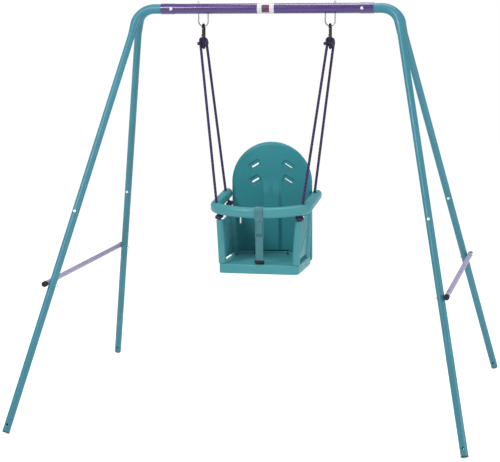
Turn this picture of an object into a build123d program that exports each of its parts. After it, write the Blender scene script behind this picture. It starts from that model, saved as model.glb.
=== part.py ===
from build123d import *
import os
from math import cos, hypot, pi, radians, sin, sqrt, tan

# A-frame garden swing with one hanging toddler seat.  Millimetres.
# +X is to the right when the seat is looked at from its front, +Y is behind the seat,
# +Z is up.  The origin is on the ground, under the middle of the top bar.

# ---------------------------------------------------------------- frame, driving dimensions
BAR_Z = 1778.0            # height of the top bar's axis
BAR_HALF = 481.0          # half length of the top bar
BAR_OD = 46.0
BAR_WALL = 1.6
BELL_OD = 48.2            # each end of the bar is belled into a socket
BELL_WALL = 1.8
BELL_LENGTH = 62.0
BAR_BOLT_X = BAR_HALF - 49.0
LABEL_HALF = 38.0

APEX_X = 584.0            # where a leg's axis meets the height of the bar
FOOT_X = 972.5            # where a leg's axis meets the ground
FOOT_Y = 814.0
LEG_OD = 32.0
LEG_WALL = 1.5
SPIGOT_OD = 43.4          # the two half-round leg tops make up this round spigot
SPIGOT_LENGTH = 60.0
HALF_GAP = 0.15           # from the XZ plane to the flat of each half-round leg top
BEND_RADIUS = 85.0
NECK_LENGTH = 60.0        # below the bend, a leg tapers to its plain tube over this length
JOINT_FRACTION = 0.4915   # place of the leg joint, from the foot to the apex
NECKED_LENGTH = 75.0      # reduced top of a lower leg, inside the upper leg
NECKED_OD = 28.6
FOOT_FLANGE = 3.0
FOOT_PLUG_DEPTH = 22.0
ANCHOR_UP = 31.0          # ground anchor hole, up the leg from its cut end
ANCHOR_R = 4.5

BRACE_OD = 22.0
BRACE_WALL = 1.2
BRACE_Z = 602.0
BRACE_HALF = 571.0
BRACE_CAP_OD = 24.6
BRACE_CAP_LENGTH = 20.0
BRACE_CAP_WALL = 2.5

# ---------------------------------------------------------------- hangers and snap hooks
HANGER_X = 288.0
HANGER_R = 22.0           # half the distance between the two legs of a hanger
HANGER_WIRE = 6.0
PIVOT_Z = 1700.0          # axis of the wire at the bottom of a hanger: the swing's axis
HOOK_WIRE = 10.0
HOOK_HALF = 15.0          # half width of the hook's oval, on the wire's axis
HOOK_TOP = PIVOT_Z + HANGER_WIRE / 2 + 0.3 + HOOK_WIRE / 2
HOOK_BOTTOM = 1603.0
GATE_PIVOT_Z = 1661.0
GATE_TOP = 1688.6
NOSE_Z = 1690.0

# ---------------------------------------------------------------- seat
SEAT_HALF = 180.0         # half width of the seat tray
TRAY_FRONT = -210.0
TRAY_REAR = 92.0
TRAY_TOP = 658.0
TRAY_BOTTOM = 617.0
TRAY_WALL = 3.2
BACK_HALF = 186.0
BACK_DEPTH = 24.0
BACK_WALL = 2.6
BACK_BOTTOM = 630.0
BACK_ARCH_Z = 989.0       # centre of the half-round top of the back
VENT_TILT = 31.0          # the four vent slots of the back: tilt in degrees, place and length
VENT_X = 77.0
VENT_ZS = (1067.0, 998.0)
VENT_LENGTH = 41.0
BELT_X = 148.0            # the two upright belt slots of the back
BELT_Z = 817.0
BELT_LENGTH = 44.0
SCREW_XS = (-140.0, -50.0, 50.0, 140.0)
SCREW_Z = 643.0
SCREW_R = 2.0
TAB_WIDTH = 150.0         # locking tab in the ledge along the rear of the tray
RING_FRONT = -247.0       # middle of the guard ring at its front, on the ring's own axis
RING_FRONT_Z = 895.0
RING_RISE = 0.115         # the guard ring climbs towards the back
RING_ARM_X = 208.5
RING_ARM_END = 117.0
RING_BOLT_Y = TRAY_REAR + BACK_DEPTH / 2
RING_BULGE_R = 300.0
RING_CORNER_R = 75.0
RING_WIDTH = 42.0
RING_HEIGHT = 46.0
RING_WALL = 3.5
PILLAR_OD = 34.0
PILLAR_X = 166.0          # foot of each hollow rope pillar, on the tray
PILLAR_LEAN = 0.06        # the side panels lean outwards as they rise
FRONT_FOOT_Y = -187.0
REAR_FOOT_Y = 49.0
FRONT_LEAN = 0.05         # the front pillars lean backwards, the rear ones a little
REAR_LEAN = 0.02
FRONT_HOLE_X = 191.5      # rope holes in the guard ring
FRONT_HOLE_Y = -175.5
REAR_HOLE_X = 204.0
REAR_HOLE_Y = 55.0
HEAD_DROP = 51.0          # from the guard ring's axis down to the tops of the pillars
ROPE_OD = 11.0
ROPE_HOLE_R = 7.0
RING_HOLE_R = 7.8
RING_KNOT_R = 20.0
RING_KNOT_DROP = 39.0
ROPE_SPREAD = 13.0        # from the middle of a hook to each rope below it
ROPE_END_DROP = 16.0      # a rope ends this far inside the tray
STRAP_WIDTH = 38.0
STRAP_SLOT_Y = -187.0
STRAP_HIGH_X = 15.0       # the strap's loop has slid a little along the guard ring
STRAP_LOW_X = 2.0
STRAP_DEPTH = 14.0        # the strap's sewn end lies this far below the top of the tray
M6 = 6.0

# Ribs on each side panel, from the foot of its front pillar: (backwards, upwards) of both ends.
PANEL_RIBS = (((22.0, 24.0), (60.0, 180.0)), ((26.0, 22.0), (117.0, 186.0)),
              ((34.0, 20.0), (180.0, 190.0)), ((52.0, 19.0), (222.0, 150.0)))

SIDES = (("left", -1), ("right", 1))
ENDS = (("front", -1), ("rear", 1))


# ---------------------------------------------------------------- helpers
def save(shape, name, color):
    """Write one sub-part as parts/NAME.step."""
    solids = shape.solids()
    part = solids[0] if len(solids) == 1 else Compound(children=list(solids))
    part.label = name
    part.color = Color(*color)
    export_step(part, f"parts/{name}.step")


def rod(start, end, radius):
    """A solid round bar between two points."""
    axis = Vector(end) - Vector(start)
    plane = Plane(origin=start, z_dir=axis)
    return extrude(plane * Circle(radius), axis.length)


def tube(start, end, outer, wall):
    """A round tube between two points."""
    return rod(start, end, outer / 2) - rod(start, end, outer / 2 - wall)


def barrel(plane, radius, height, rounding):
    """A round-edged stub that stands for a tied knot."""
    stub = extrude(plane * Circle(radius), height / 2, both=True)
    return fillet(stub.edges(), rounding)


def bolt(head, direction, length, size, head_r, head_h):
    """A domed bolt: its head stands at `head` and its shank runs along `direction`."""
    plane = Plane(origin=head, z_dir=direction)
    dome = extrude(plane * Circle(head_r), -head_h)
    dome = fillet(dome.edges().sort_by(Axis(head, direction))[0], head_h * 0.7)
    return dome + extrude(plane * Circle(size / 2), length)


def nut(place, direction, size, height):
    """A domed hexagon nut with its washer, threaded on a bolt of the given size."""
    plane = Plane(origin=place, z_dir=direction)
    washer = extrude(plane * Circle(size), 1.2)
    body = extrude(plane.offset(1.2) * RegularPolygon(size * 0.92, 6), height)
    return washer + body - extrude(plane * Circle(size / 2), height + 1.2)


# ---------------------------------------------------------------- leg geometry
def leg_way(side, end):
    """Direction of a leg, from the apex down to its foot."""
    return Vector(side * (FOOT_X - APEX_X), end * FOOT_Y, -BAR_Z).normalized()


def leg_point(side, end, up):
    """The point on a leg's axis that is `up` along the leg from the ground."""
    foot = Vector(side * FOOT_X, end * FOOT_Y, 0)
    return foot - leg_way(side, end) * up


def leg_length():
    return sqrt((FOOT_X - APEX_X) ** 2 + FOOT_Y ** 2 + BAR_Z ** 2)


def across_leg(side, end):
    """Unit vector square to a leg, as near to +Y as it can be: the way of its bolts."""
    way = leg_way(side, end)
    return (Vector(0, 1, 0) - way * way.Y).normalized()


JOINT_UP = leg_length() * JOINT_FRACTION
JOINT_BOLT_UP = JOINT_UP + 32.0
FOOT_CUT = FOOT_FLANGE + LEG_OD / 2 * sqrt(1 - leg_way(1, 1).Z ** 2) / abs(leg_way(1, 1).Z)


def upper_leg(side, end):
    """A bent tube whose top is formed half round, so that front and rear fill one socket."""
    way = leg_way(side, end)
    across = Vector(side, 0, 0)
    turn = radians(across.get_angle(way))
    tangent = BEND_RADIUS * tan(turn / 2)
    apex = Vector(side * APEX_X, 0, BAR_Z)
    bend_start = apex - across * tangent
    bend_end = apex + way * tangent
    inward = (way - across * way.dot(across)).normalized()
    sagitta = BEND_RADIUS * (1 - cos(turn / 2))
    bend_middle = bend_start + inward * sagitta + across * (BEND_RADIUS * sin(turn / 2))
    bend_axis = ThreePointArc(bend_start, bend_middle, bend_end)
    spigot_end = Vector(side * (BAR_HALF - SPIGOT_LENGTH), 0, BAR_Z)
    neck_end = bend_end + way * NECK_LENGTH
    joint = leg_point(side, end, JOINT_UP)

    def skin(inset):
        """The leg's outer surface as a solid, or the bore when `inset` is the wall."""
        formed = SPIGOT_OD / 2 - inset
        plain = LEG_OD / 2 - inset
        body = rod(spigot_end, bend_start, formed)
        body += sweep(Plane(origin=bend_start, z_dir=across) * Circle(formed), path=bend_axis)
        body += loft([Plane(origin=bend_end, z_dir=way) * Circle(formed),
                      Plane(origin=neck_end, z_dir=way) * Circle(plain)], ruled=True)
        body += rod(neck_end, joint, plain)
        beside = Pos(0, end * (HALF_GAP + inset + FOOT_Y), BAR_Z)
        return body & (beside * Box(4 * FOOT_X, 2 * FOOT_Y, 4 * BAR_Z))

    return skin(0.0) - skin(LEG_WALL)


def cross_hole(side, end, up, radius):
    """A pin through a leg, square to it, at `up` along the leg."""
    middle = leg_point(side, end, up)
    reach = across_leg(side, end) * LEG_OD
    return rod(middle - reach, middle + reach, radius)


def lower_leg(side, end):
    """A straight tube with a necked top; the neck slides into the upper leg."""
    foot = leg_point(side, end, FOOT_CUT)
    joint = leg_point(side, end, JOINT_UP)
    tip = leg_point(side, end, JOINT_UP + NECKED_LENGTH)
    outer = rod(foot, joint, LEG_OD / 2) + rod(joint, tip, NECKED_OD / 2)
    shoulder = leg_point(side, end, JOINT_UP - 6.0)
    bore = rod(foot, shoulder, LEG_OD / 2 - LEG_WALL) + rod(foot, tip, NECKED_OD / 2 - LEG_WALL)
    holes = cross_hole(side, end, JOINT_BOLT_UP, M6 / 2)
    holes += cross_hole(side, end, FOOT_CUT + ANCHOR_UP, ANCHOR_R)
    return outer - bore - holes - brace_pin(side, end, M6 / 2)


def foot_plug(side, end):
    """A ribbed plastic plug in the open end of a leg; its flange meets the ground."""
    way = leg_way(side, end)
    cut = leg_point(side, end, FOOT_CUT)
    flange = rod(cut + way * FOOT_FLANGE, cut, LEG_OD / 2)
    stem = tube(cut, cut - way * FOOT_PLUG_DEPTH, LEG_OD - 2 * LEG_WALL - 0.4, 2.5)
    return flange + stem


# ---------------------------------------------------------------- braces
def brace_frame(side):
    """Axis point of the brace at each leg, and the way of the bolt that joins them."""
    share = 1 - BRACE_Z / BAR_Z
    leg_x = APEX_X + (FOOT_X - APEX_X) * share
    leg_y = FOOT_Y * share
    rise = (FOOT_X - APEX_X) / BAR_Z
    outward = Vector(side, 0, rise).normalized()
    apart = (LEG_OD + BRACE_OD) / 2 + 0.1
    return side * leg_x, leg_y, outward, apart


def brace_pin(side, end, radius):
    """The hole for a brace bolt, square to both the leg and the brace."""
    leg_x, leg_y, outward, apart = brace_frame(side)
    middle = Vector(leg_x, end * leg_y, BRACE_Z)
    return rod(middle - outward * LEG_OD, middle + outward * (apart + BRACE_OD), radius)


def brace_point(side, y):
    """The point on a brace's axis at a given Y."""
    leg_x, _, outward, apart = brace_frame(side)
    return Vector(leg_x, y, BRACE_Z) + outward * apart


def brace(side):
    """A straight tube on the outside of an A-frame, from front leg to rear leg."""
    body = tube(brace_point(side, -BRACE_HALF), brace_point(side, BRACE_HALF), BRACE_OD, BRACE_WALL)
    return body - brace_pin(side, -1, M6 / 2) - brace_pin(side, 1, M6 / 2)


def brace_cap(side, end):
    """A closed sleeve over the end of a brace."""
    face_y = BRACE_HALF + BRACE_CAP_WALL
    back = brace_point(side, end * (face_y - BRACE_CAP_LENGTH))
    shell = rod(brace_point(side, end * face_y), back, BRACE_CAP_OD / 2)
    shell = fillet(shell.edges().sort_by(Axis.Y)[0 if end < 0 else -1], 1.8)
    return shell - rod(brace_point(side, end * BRACE_HALF), back, BRACE_OD / 2)


# ---------------------------------------------------------------- top bar and its hangers
def top_bar():
    """A drawn tube with belled ends, bored for the end bolts and the hangers."""
    straight = BAR_HALF - BELL_LENGTH
    outer = rod((-straight, 0, BAR_Z), (straight, 0, BAR_Z), BAR_OD / 2)
    inner = rod((-BAR_HALF, 0, BAR_Z), (BAR_HALF, 0, BAR_Z), BAR_OD / 2 - BAR_WALL)
    for _, side in SIDES:
        bell_start = (side * straight, 0, BAR_Z)
        bell_end = (side * BAR_HALF, 0, BAR_Z)
        outer += rod(bell_start, bell_end, BELL_OD / 2)
        inner += rod(bell_start, bell_end, BELL_OD / 2 - BELL_WALL)
        inner += bar_bolt_pin(side, M6 / 2)
        outer_leg = side * (HANGER_X + HANGER_R)
        inner_leg = side * (HANGER_X - HANGER_R)
        below = BAR_Z - BAR_OD
        inner += rod((outer_leg, 0, below), (outer_leg, 0, BAR_Z + BAR_OD), HANGER_WIRE / 2)
        inner += rod((inner_leg, 0, below), (inner_leg, 0, BAR_Z), HANGER_WIRE / 2)
    return outer - inner


def bar_bolt_pin(side, radius):
    return rod((side * BAR_BOLT_X, -BELL_OD, BAR_Z), (side * BAR_BOLT_X, BELL_OD, BAR_Z), radius)


def bar_label():
    """A thin wrapped band round the middle of the bar."""
    return tube((-LABEL_HALF, 0, BAR_Z), (LABEL_HALF, 0, BAR_Z), BAR_OD + 0.8, 0.4)


def hanger(side):
    """A bent wire: one leg runs through the bar to its nut, the other hooks into it."""
    bow_z = PIVOT_Z + HANGER_R
    top_z = BAR_Z + BAR_OD / 2 + 11.0
    outer_x = side * (HANGER_X + HANGER_R)
    inner_x = side * (HANGER_X - HANGER_R)
    path = Line((outer_x, 0, top_z), (outer_x, 0, bow_z))
    path += ThreePointArc((outer_x, 0, bow_z), (side * HANGER_X, 0, PIVOT_Z), (inner_x, 0, bow_z))
    path += Line((inner_x, 0, bow_z), (inner_x, 0, BAR_Z - BAR_OD / 2 + 10.0))
    start = Plane(origin=(outer_x, 0, top_z), z_dir=(0, 0, -1))
    return sweep(start * Circle(HANGER_WIRE / 2), path=path)


# ---------------------------------------------------------------- snap hooks
def gate_bar(side, half, radius):
    """A round bar along X on the pivot of a hook's gate."""
    x = side * HANGER_X
    return rod((x - half, -HOOK_HALF, GATE_PIVOT_Z), (x + half, -HOOK_HALF, GATE_PIVOT_Z), radius)


def hook(side):
    """An oval snap hook in the YZ plane; its front side is left open for the gate."""
    x = side * HANGER_X
    corners = [(x, -HOOK_HALF, NOSE_Z), (x, -HOOK_HALF, HOOK_TOP), (x, HOOK_HALF, HOOK_TOP),
               (x, HOOK_HALF, HOOK_BOTTOM), (x, -HOOK_HALF, HOOK_BOTTOM),
               (x, -HOOK_HALF, GATE_PIVOT_Z - 2.0)]
    path = FilletPolyline(*corners, radius=HOOK_HALF - 0.1)
    wire = sweep(Plane(origin=corners[0], z_dir=(0, 0, 1)) * Circle(HOOK_WIRE / 2), path=path)
    eye = gate_bar(side, HOOK_WIRE / 2, HOOK_WIRE / 2)
    fork = Pos(x, -HOOK_HALF, GATE_PIVOT_Z) * Box(4.8, 2 * HOOK_WIRE, HOOK_WIRE + 1.6)
    return wire + eye - fork - gate_pin(side)


def gate_pin(side):
    return gate_bar(side, HOOK_WIRE / 2, 1.5)


def hook_gate(side):
    """The sprung bar that closes a hook: a tongue on the pin and a round latch bar."""
    x = side * HANGER_X
    tongue = gate_bar(side, 2.0, 4.4)
    tongue += Pos(x, -HOOK_HALF, GATE_PIVOT_Z + 4.5) * Box(4.0, 7.0, 9.0)
    latch = rod((x, -HOOK_HALF, GATE_PIVOT_Z + 7.0), (x, -HOOK_HALF, GATE_TOP), 4.0)
    return tongue + latch - gate_bar(side, 4.0, 1.55)


# ---------------------------------------------------------------- ropes and knots
def ring_z(y):
    """Height of the guard ring's axis at a given Y."""
    return RING_FRONT_Z + RING_RISE * (y - RING_FRONT)


def pillar_point(side, end, up):
    """The point on a rope pillar's axis at a given height over the tray."""
    foot_y = FRONT_FOOT_Y if end < 0 else REAR_FOOT_Y
    lean_y = FRONT_LEAN if end < 0 else REAR_LEAN
    return Vector(side * (PILLAR_X + PILLAR_LEAN * up), foot_y + lean_y * up, TRAY_TOP + up)


def pillar_height(end):
    hole_y = FRONT_HOLE_Y if end < 0 else REAR_HOLE_Y
    return ring_z(hole_y) - HEAD_DROP - TRAY_TOP


def rope_route(side, end):
    """Points of one rope leg: top knot, guard ring hole, top of its pillar, end in the tray."""
    hole_x = FRONT_HOLE_X if end < 0 else REAR_HOLE_X
    hole_y = FRONT_HOLE_Y if end < 0 else REAR_HOLE_Y
    top = Vector(side * HANGER_X + end * ROPE_SPREAD, end * 6.0, 1616.0)
    hole = Vector(side * hole_x, hole_y, ring_z(hole_y))
    return [top, hole, pillar_point(side, end, pillar_height(end)), pillar_point(side, end, -ROPE_END_DROP)]


def rope_radii(route):
    """The largest radius that each turn of a route has room for."""
    radii = []
    for before, corner, after in zip(route, route[1:], route[2:]):
        turn = radians((corner - before).get_angle(after - corner))
        shorter = min((corner - before).length, (after - corner).length)
        radii.append(0.45 * shorter / tan(turn / 2))
    return radii


def rope(side, end):
    """One taut rope leg, straight but for gentle turns at the guard ring and its pillar."""
    route = rope_route(side, end)
    path = FilletPolyline(*route, radius=rope_radii(route))
    start = Plane(origin=route[0], z_dir=(route[1] - route[0]).normalized())
    return sweep(start * Circle(ROPE_OD / 2), path=path)


def top_knot_mass(side):
    """The bulk of the rope tied round the lower bow of a hook, with its short tail."""
    x = side * HANGER_X
    mass = barrel(Plane(origin=(x, 0, 1627.0)), 20.5, 46.0, 13.0)
    tail = rod((x, 0, 1630.0), (x - 30.0, 0, 1630.0), ROPE_OD / 2)
    return mass + tail


def ring_knot(side, end):
    """A wide flat knot between the guard ring and the top of a pillar."""
    _, hole, head, _ = rope_route(side, end)
    way = (head - hole).normalized()
    plane = Plane(origin=hole + way * RING_KNOT_DROP, z_dir=way)
    return barrel(plane, RING_KNOT_R, 18.0, 8.5)


def base_knot(side, end):
    """A stopper knot under the top of the tray, in the hollow of the tray."""
    _, _, head, low = rope_route(side, end)
    way = (low - head).normalized()
    return barrel(Plane(origin=low - way, z_dir=way), 10.0, 18.0, 4.5)


# ---------------------------------------------------------------- guard ring
def ring_path():
    """The ring's axis: a bulged front, two round corners and two straight arms."""
    tilt = Plane(origin=(0, RING_FRONT, RING_FRONT_Z), x_dir=(1, 0, 0),
                 z_dir=(0, -RING_RISE, 1))
    stretch = hypot(1.0, RING_RISE)
    arm_x = RING_ARM_X
    corner_x = arm_x - RING_CORNER_R
    apart = RING_BULGE_R - RING_CORNER_R
    corner_y = RING_BULGE_R - sqrt(apart ** 2 - corner_x ** 2)
    touch_x = corner_x * RING_BULGE_R / apart
    touch_y = RING_BULGE_R - (RING_BULGE_R - corner_y) * RING_BULGE_R / apart
    mid_turn = radians(20.0)
    mid_x = corner_x + RING_CORNER_R * cos(mid_turn)
    mid_y = corner_y - RING_CORNER_R * sin(mid_turn)
    arm_y = (RING_ARM_END - RING_FRONT) * stretch
    path = Line((-arm_x, arm_y), (-arm_x, corner_y))
    path += ThreePointArc((-arm_x, corner_y), (-mid_x, mid_y), (-touch_x, touch_y))
    path += ThreePointArc((-touch_x, touch_y), (0, 0), (touch_x, touch_y))
    path += ThreePointArc((touch_x, touch_y), (mid_x, mid_y), (arm_x, corner_y))
    path += Line((arm_x, corner_y), (arm_x, arm_y))
    return tilt, tilt * path, arm_x, arm_y


def ring_skin(inset, short):
    """The ring's tube at full size, or its hollow when `inset` is the wall."""
    tilt, path, arm_x, arm_y = ring_path()
    start = tilt.from_local_coords(Vector(-arm_x, arm_y, 0))
    section = Plane(origin=start, x_dir=(1, 0, 0), z_dir=-tilt.y_dir)
    shape = RectangleRounded(RING_WIDTH - 2 * inset, RING_HEIGHT - 2 * inset, 17.0 - inset)
    body = sweep(section * shape, path=path)
    if short:
        body = body & (Pos(0, RING_ARM_END - inset - 500.0, RING_FRONT_Z) * Box(900, 1000, 400))
    return body


def ring_hole(side, end):
    """Middle and way of a rope hole, which follows the rope's turn inside the ring."""
    top, hole, head, _ = rope_route(side, end)
    above = (top - hole).normalized()
    below = (head - hole).normalized()
    inside = 0.75 * 0.45 * (head - hole).length / 2
    return hole + (above + below) * inside, (below - above).normalized()


def guard_ring():
    body = ring_skin(0.0, False) - ring_skin(RING_WALL, True)
    for _, side in SIDES:
        for _, end in ENDS:
            middle, way = ring_hole(side, end)
            sleeve = rod(middle - way * 21.0, middle + way * 21.0, RING_HOLE_R + 2.5)
            bore = rod(middle - way * 40.0, middle + way * 40.0, RING_HOLE_R)
            body = body + sleeve - bore
        body -= ring_bolt_pin(side, M6 / 2)
    return body


def ring_bolt_pin(side, radius):
    inner = (side * (BACK_HALF - 26.0), RING_BOLT_Y, ring_z(RING_BOLT_Y))
    outer = (side * (RING_ARM_X + RING_WIDTH), RING_BOLT_Y, ring_z(RING_BOLT_Y))
    return rod(inner, outer, radius)


# ---------------------------------------------------------------- seat tray, back and side panels
def tray():
    """A shell that is open underneath, with a low ledge and a locking tab at its rear."""
    width = 2 * SEAT_HALF
    depth = TRAY_REAR - TRAY_FRONT
    height = TRAY_TOP - TRAY_BOTTOM
    middle = (TRAY_REAR + TRAY_FRONT) / 2
    block = Pos(0, middle, (TRAY_TOP + TRAY_BOTTOM) / 2) * Box(width, depth, height)
    upright = block.edges().filter_by(Axis.Z).sort_by(Axis.Y)
    block = fillet(upright[0:2], 26.0)
    block = fillet(block.faces().sort_by(Axis.Z)[-1].edges(), 6.0)
    hollow = Pos(0, middle, TRAY_BOTTOM + (height - TRAY_WALL) / 2) * Box(
        width - 2 * TRAY_WALL, depth - 2 * TRAY_WALL, height - TRAY_WALL)
    hollow = fillet(hollow.edges().filter_by(Axis.Z).sort_by(Axis.Y)[0:2], 22.0)
    shell = block - hollow
    for x in (-90.0, 0.0, 90.0):
        shell += Pos(x, middle + 12.0, TRAY_TOP - 14.0) * Box(3.0, depth - 64.0, 24.0)
    for y in (middle - 50.0, middle + 50.0):
        shell += Pos(0, y, TRAY_TOP - 7.0) * Box(width - 90.0, 3.0, 10.0)
    ledge = Pos(0, TRAY_REAR - 7.5, TRAY_TOP + 6.0) * Box(width - 12.0, 15.0, 12.0)
    ledge = fillet(ledge.edges().filter_by(Axis.X).sort_by(Axis.Y)[0:2].sort_by(Axis.Z)[-1], 4.0)
    over_ledge = Pos(0, TRAY_REAR - 7.5, TRAY_TOP + 8.0)
    shell += ledge - over_ledge * Box(TAB_WIDTH + 10.0, 16.0, 16.0)
    shell += over_ledge * Box(TAB_WIDTH, 15.0, 16.0)
    shell -= Pos(STRAP_LOW_X, STRAP_SLOT_Y, TRAY_TOP) * Box(STRAP_WIDTH + 6.0, 12.0, 20.0)
    for _, side in SIDES:
        for _, end in ENDS:
            over, under = pillar_point(side, end, 60.0), pillar_point(side, end, -ROPE_END_DROP)
            shell -= rod(over, under, ROPE_HOLE_R)
    return shell - back_screw_pins(SCREW_R)


def back_outline(inset):
    """Half-round top on straight sides, drawn in the XZ plane."""
    half = BACK_HALF - inset
    base = BACK_BOTTOM + inset
    edge = Polyline((-half, BACK_ARCH_Z), (-half, base), (half, base), (half, BACK_ARCH_Z))
    edge += ThreePointArc((half, BACK_ARCH_Z), (0, BACK_ARCH_Z + half), (-half, BACK_ARCH_Z))
    return make_face(edge)


def vent_plane(side, z):
    """Plane on the front of the back, turned in line with a vent slot."""
    tilt = radians(VENT_TILT)
    along = (cos(tilt), 0, -side * sin(tilt))
    return Plane(origin=(side * VENT_X, TRAY_REAR, z), x_dir=along, z_dir=(0, -1, 0))


def belt_box(side, width, height):
    """A block through the back, round a belt slot."""
    place = Pos(side * BELT_X, TRAY_REAR + BACK_DEPTH / 2, BELT_Z)
    return place * Box(width, 2 * BACK_DEPTH, height)


def seat_back():
    """A hollow moulded panel with four vent slots in shallow frames and two belt slots."""
    front = Plane(origin=(0, TRAY_REAR, 0), x_dir=(1, 0, 0), z_dir=(0, -1, 0))
    outer = extrude(front * back_outline(0.0), -BACK_DEPTH)
    outer = fillet(outer.faces().sort_by(Axis.Y)[0].edges(), 8.0)
    outer = fillet(outer.faces().sort_by(Axis.Y)[-1].edges(), 4.0)
    hollow = extrude(front.offset(-BACK_WALL) * back_outline(4.0), -(BACK_DEPTH - 2 * BACK_WALL))
    for _, side in SIDES:
        for z in VENT_ZS:
            hollow -= extrude(vent_plane(side, z) * Rectangle(62.0, 42.0), -BACK_DEPTH)
        hollow -= belt_box(side, 20.0, BELT_LENGTH + 12.0)
        hollow -= ring_bolt_pin(side, 9.0)
    hollow -= back_screw_pins(7.0)
    panel = outer - hollow
    for _, side in SIDES:
        for z in VENT_ZS:
            panel -= extrude(vent_plane(side, z) * RectangleRounded(56.0, 36.0, 6.0), -3.0)
            panel -= extrude(vent_plane(side, z) * SlotOverall(VENT_LENGTH, 7.5), -BACK_DEPTH)
        panel = panel - belt_box(side, 9.0, BELT_LENGTH) - ring_bolt_pin(side, M6 / 2)
    return panel - back_screw_pins(SCREW_R)


def back_rods(start_y, end_y, radius):
    """Round bars on the four screws' axes, between two values of Y."""
    rods = [rod((x, start_y, SCREW_Z), (x, end_y, SCREW_Z), radius) for x in SCREW_XS]
    return Part() + rods


def back_screw_pins(radius):
    """Four pins through the back and into the rear wall of the tray."""
    return back_rods(TRAY_REAR - 12.0, TRAY_REAR + BACK_DEPTH, radius)


def back_screws():
    heads = back_rods(TRAY_REAR + BACK_DEPTH, TRAY_REAR + BACK_DEPTH + 2.5, 4.5)
    return back_screw_pins(SCREW_R) + heads


def side_panel(side):
    """Two hollow rope pillars joined by a ribbed web that stops short of the tray."""
    lean = Vector(PILLAR_LEAN * side, 0, 1)

    def on_panel(y, up):
        """The point of the leaning web at a given Y and height over the tray."""
        return Vector(side * PILLAR_X, y, TRAY_TOP) + lean * up

    bodies = []
    bores = []
    for _, end in ENDS:
        height = pillar_height(end)
        bodies.append(rod(pillar_point(side, end, -40.0), pillar_point(side, end, height), PILLAR_OD / 2))
        hollow_r = PILLAR_OD / 2 - 3.5
        bores.append(rod(pillar_point(side, end, 6.0), pillar_point(side, end, height - 5.0), hollow_r))
        over_head = pillar_point(side, end, height + 9.0)
        bores.append(rod(pillar_point(side, end, -50.0), over_head, ROPE_HOLE_R))
        bores.append(rod(pillar_point(side, end, height - 9.0), over_head, ROPE_HOLE_R + 2.5))
    front_y = pillar_point(side, -1, 90.0).Y
    rear_y = pillar_point(side, 1, 90.0).Y
    corners = [(front_y, 15.0), (rear_y, 15.0), (rear_y, 205.0), (front_y, 178.0)]
    outline = Polyline(*[on_panel(y, up) for y, up in corners], close=True)
    web = extrude(make_face(outline), 3.0, both=True)
    ribs = []
    for start, finish in PANEL_RIBS:
        low_end = on_panel(FRONT_FOOT_Y + start[0], start[1])
        high_end = on_panel(FRONT_FOOT_Y + finish[0], finish[1])
        ribs.append(rod(low_end, high_end, 6.0))
    panel = (Part() + bodies + [web] + ribs) - (Part() + bores)
    return panel & (Pos(0, 0, TRAY_TOP + 500.0) * Box(2000, 2000, 1000))


# ---------------------------------------------------------------- crotch strap
def strap_line():
    """Both ends of the strap's straight run: in the tray, and under the guard ring."""
    low = Vector(STRAP_LOW_X, STRAP_SLOT_Y, TRAY_TOP - STRAP_DEPTH)
    high = Vector(STRAP_HIGH_X, RING_FRONT + 1.3, RING_FRONT_Z - RING_HEIGHT / 2 - 1.5)
    return low, high


def crotch_strap():
    """Webbing looped round the front of the guard ring and sewn to itself below it."""
    middle = (STRAP_HIGH_X, RING_FRONT + STRAP_HIGH_X ** 2 / (2 * RING_BULGE_R), RING_FRONT_Z)
    eye = Plane(origin=middle, x_dir=(0, 1, RING_RISE), z_dir=(1, STRAP_HIGH_X / RING_BULGE_R, 0))
    outer = RectangleRounded(RING_WIDTH + 6.4, RING_HEIGHT + 6.4, 20.2)
    inner = RectangleRounded(RING_WIDTH + 2.4, RING_HEIGHT + 2.4, 18.2)
    loop = extrude(eye * (outer - inner), STRAP_WIDTH / 2, both=True)
    low, high = strap_line()
    run = Plane(origin=high, x_dir=(1, 0, 0), z_dir=(low - high).normalized())
    tail = extrude(run * Rectangle(STRAP_WIDTH, 4.4), (low - high).length)
    return loop + (tail - extrude(eye * inner, STRAP_WIDTH, both=True))


def strap_buckle():
    """A flat slide that holds the strap where it enters the tray."""
    low, high = strap_line()
    way = (high - low).normalized()
    plane = Plane(origin=low + way * 25.5, x_dir=(1, 0, 0), z_dir=way)
    frame = extrude(plane * RectangleRounded(STRAP_WIDTH + 6.0, 9.0, 3.0), 7.5, both=True)
    return frame - extrude(plane * Rectangle(STRAP_WIDTH + 0.4, 4.8), 20.0, both=True)


def strap_anchor():
    """A rod through the sewn end of the strap, under the top of the tray."""
    z = TRAY_TOP - TRAY_WALL - STRAP_DEPTH + 0.5
    return rod((STRAP_LOW_X - 30.0, STRAP_SLOT_Y, z), (STRAP_LOW_X + 30.0, STRAP_SLOT_Y, z), 3.0)


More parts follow.
